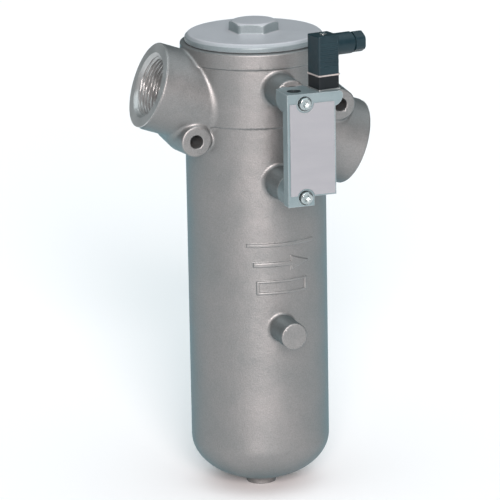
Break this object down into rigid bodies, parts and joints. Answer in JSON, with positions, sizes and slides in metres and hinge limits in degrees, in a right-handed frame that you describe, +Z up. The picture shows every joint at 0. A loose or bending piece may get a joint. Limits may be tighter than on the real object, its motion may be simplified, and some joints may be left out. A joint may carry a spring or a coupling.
{
  "type": "compressed air filter",
  "caption": "Upright cast air filter with slanted in-line screwed ports, screwed lid, lift-out pleated element, mounting lugs and a front differential pressure indicator with plug.",
  "frame": {"origin": "centre of the drain port at the bottom face of its boss, on the vessel's axis", "axes": "+Z up along the vessel's axis, -Y to the front where the pressure indicator sits, inlet port towards -X and outlet port towards +X"},
  "size_m": [0.1661, 0.1494, 0.3339],
  "materials": {
    "cast_aluminium": "matt shot-blasted aluminium casting",
    "lid_metal": "matt",
    "block_metal": "matt anodised",
    "label": "matt",
    "zinc_steel": "bright zinc",
    "seal_rubber": "matt",
    "steel_sheet": "satin",
    "element_cap": "matt",
    "pleated_media": "matt",
    "foam_sock": "matt",
    "retainer_plastic": "matt",
    "piston_metal": "ground",
    "magnet": "matt",
    "reed_glass": "clear",
    "connector_plastic": "fine moulded grain",
    "profile_seal": "matt",
    "contact_brass": "satin"
  },
  "bodies": {
    "vessel": {"housing": "cast_aluminium", "indicator_block": "block_metal", "label_plate": "label", "indicator_screws": "zinc_steel", "indicator_o_rings": "seal_rubber", "indicator_end_plug": "piston_metal", "end_plug_o_ring": "seal_rubber", "indicator_spring": "zinc_steel", "reed_switch": "reed_glass", "connector_flange": "steel_sheet", "connector_base": "connector_plastic", "contact_blades": "contact_brass"},
    "retainer": {"retainer_rings": "retainer_plastic", "retainer_posts": "retainer_plastic"},
    "lid_seal": {"lid_o_ring": "seal_rubber"},
    "lid": {"lid": "lid_metal"},
    "element": {"element_top_cap": "element_cap", "element_bottom_cap": "element_cap", "element_inner_core": "steel_sheet", "element_media": "pleated_media", "element_outer_core": "steel_sheet", "element_sock": "foam_sock", "element_o_ring": "seal_rubber"},
    "indicator_piston": {"indicator_piston": "piston_metal", "indicator_magnet": "magnet"},
    "plug": {"plug_housing": "connector_plastic", "plug_insert": "connector_plastic", "socket_contacts": "contact_brass", "connector_gasket": "profile_seal", "gland_grommet": "seal_rubber"},
    "plug_screw": {"plug_screw": "zinc_steel"},
    "gland_washer": {"gland_washer": "zinc_steel"},
    "gland_nut": {"gland_nut": "connector_plastic"}
  },
  "joints": [
    {"name": "lid_lift_off", "type": "slide", "parent": "vessel", "child": "retainer", "axis": [0, 0, 1], "range_m": [0, 0.32]},
    {"name": "lid_rise", "type": "slide", "parent": "retainer", "child": "lid_seal", "axis": [0, 0, 1], "range_m": [0, 0.0121]},
    {"name": "lid_turn", "type": "hinge", "parent": "lid_seal", "child": "lid", "pos_m": [0, 0, 0.3147], "axis": [0, 0, 1], "range_deg": [0, 2160]},
    {"name": "element_lift", "type": "slide", "parent": "vessel", "child": "element", "axis": [0, 0, 1], "range_m": [0, 0.2601]},
    {"name": "piston_travel", "type": "slide", "parent": "vessel", "child": "indicator_piston", "axis": [0, 0, -1], "range_m": [0, 0.004], "stiffness_N_per_m": 300, "springref_m": -0.005, "deforming": ["indicator_spring"]},
    {"name": "plug_pull", "type": "slide", "parent": "vessel", "child": "plug", "axis": [0, 0, 1], "range_m": [0, 0.014]},
    {"name": "plug_screw_turn", "type": "hinge", "parent": "plug", "child": "plug_screw", "pos_m": [0.0179, -0.085, 0.32], "axis": [0, 0, 1], "range_deg": [0, 3420]},
    {"name": "gland_nut_travel", "type": "slide", "parent": "plug", "child": "gland_washer", "axis": [0.988, 0.1547, 0], "range_m": [0, 0.003]},
    {"name": "gland_nut_turn", "type": "hinge", "parent": "gland_washer", "child": "gland_nut", "pos_m": [0.04122, -0.08135, 0.3256], "axis": [0.988, 0.1547, 0], "range_deg": [0, 720]}
  ],
  "couplings": [
    {"joint": "lid_rise", "follows": "lid_turn", "m_per_rad": 0.00031831},
    {"joint": "element_lift", "follows": "lid_lift_off", "ratio": 0.8125},
    {"joint": "gland_nut_turn", "follows": "gland_nut_travel", "rad_per_m": 4188.8}
  ]
}
